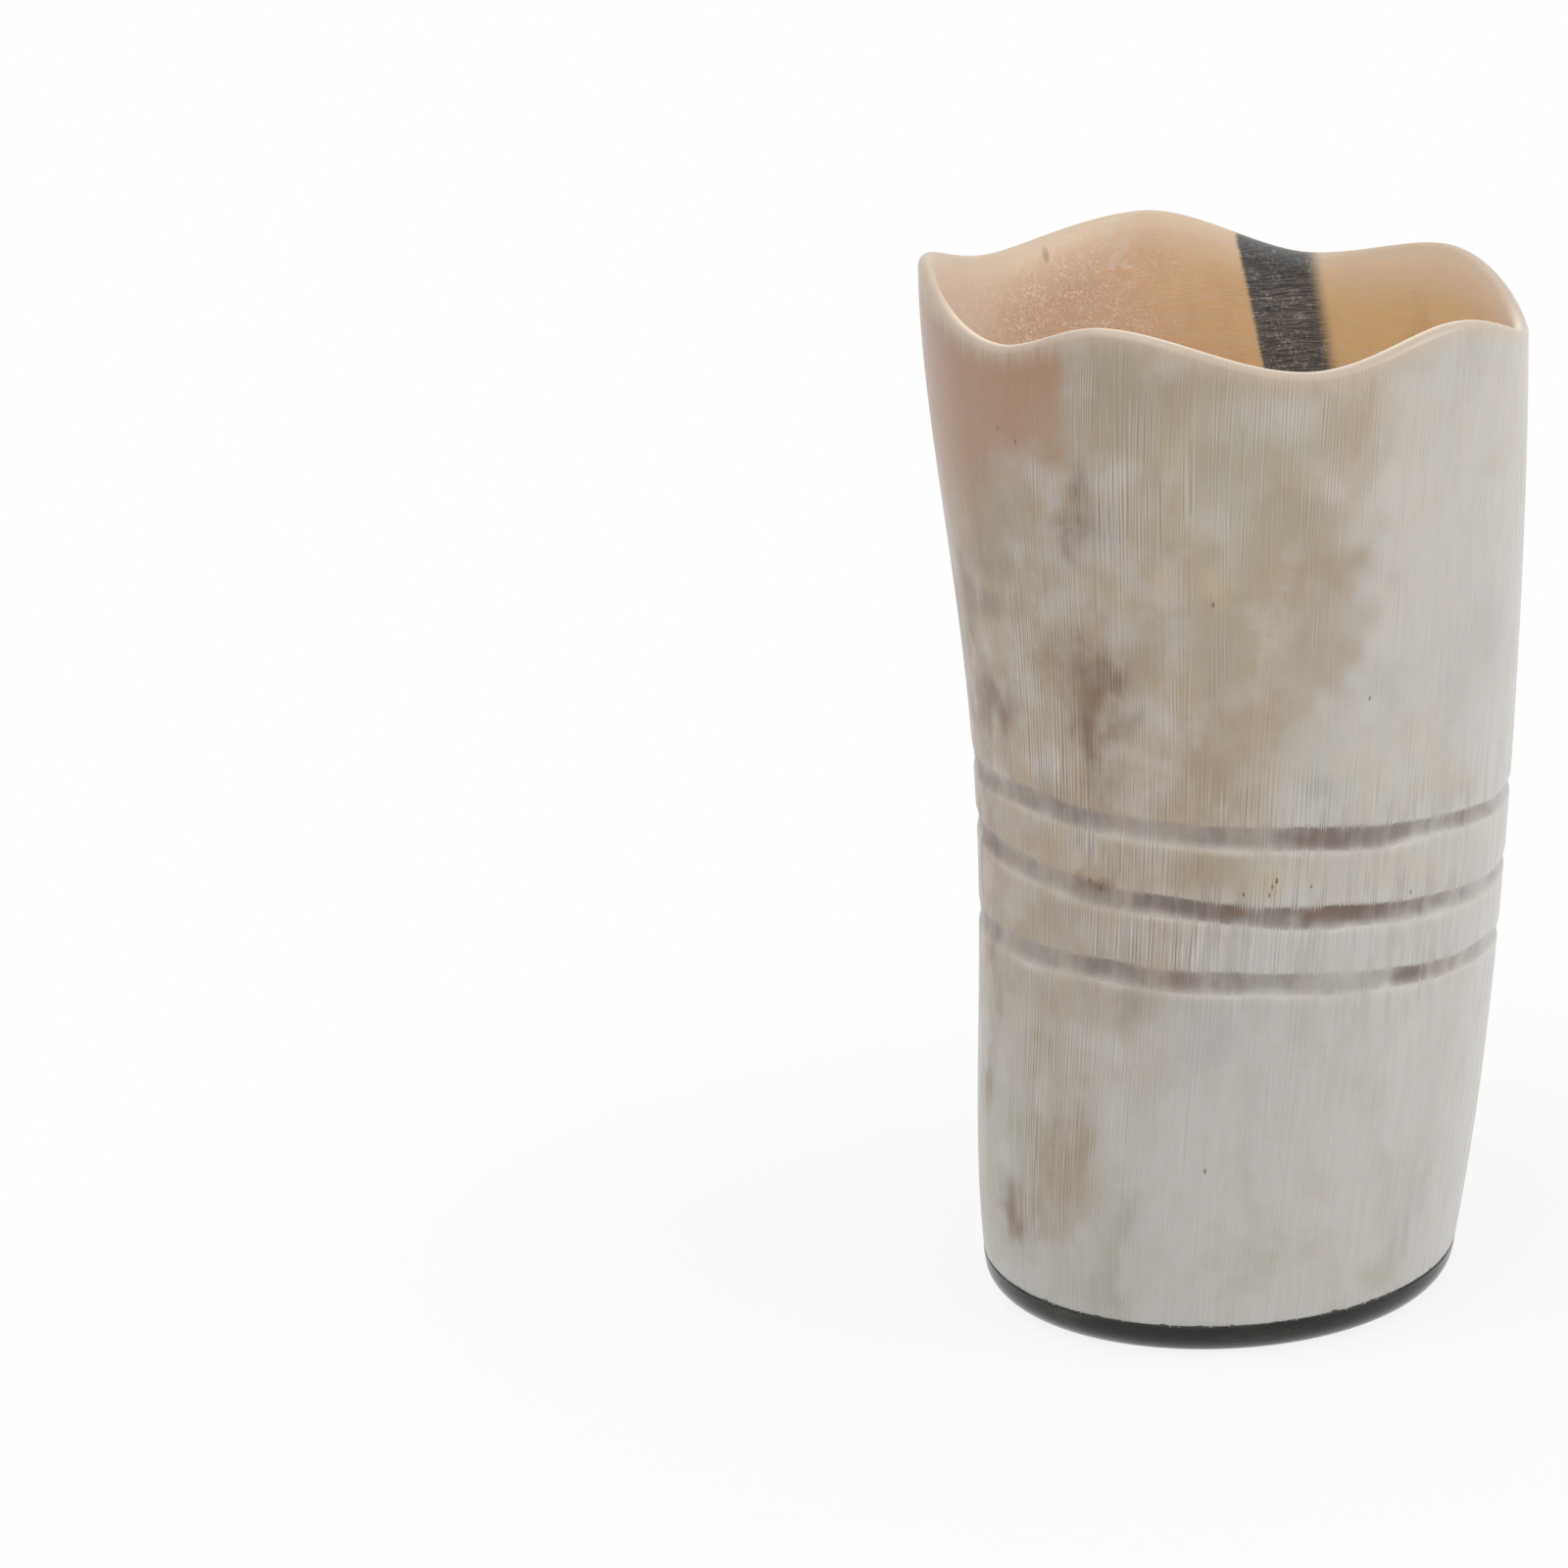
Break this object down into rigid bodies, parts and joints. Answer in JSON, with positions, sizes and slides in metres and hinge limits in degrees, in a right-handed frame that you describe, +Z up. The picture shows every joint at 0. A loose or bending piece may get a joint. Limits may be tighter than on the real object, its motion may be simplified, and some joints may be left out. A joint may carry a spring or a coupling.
{
  "type": "horn drinking cup",
  "caption": "Drinking cup made from a length of polished natural horn, with a scalloped rim, shallow hand-cut grooves round its middle and a dark horn base glued into its foot.",
  "frame": {"origin": "middle of the flat underside that the cup stands on", "axes": "+Z up toward the mouth, -Y toward the front of the cup, +X toward the side that the horn bows and leans to"},
  "size_m": [0.0701, 0.0682, 0.1277],
  "materials": {
    "pale_horn": "polished horn, cream to grey-brown with fine lengthwise fibres",
    "dark_horn": "polished black horn with a faint olive cast",
    "glue": "dark set adhesive"
  },
  "bodies": {
    "root": {"horn_wall": "pale_horn", "base_plug": "dark_horn", "glue_film": "glue"}
  },
  "joints": []
}
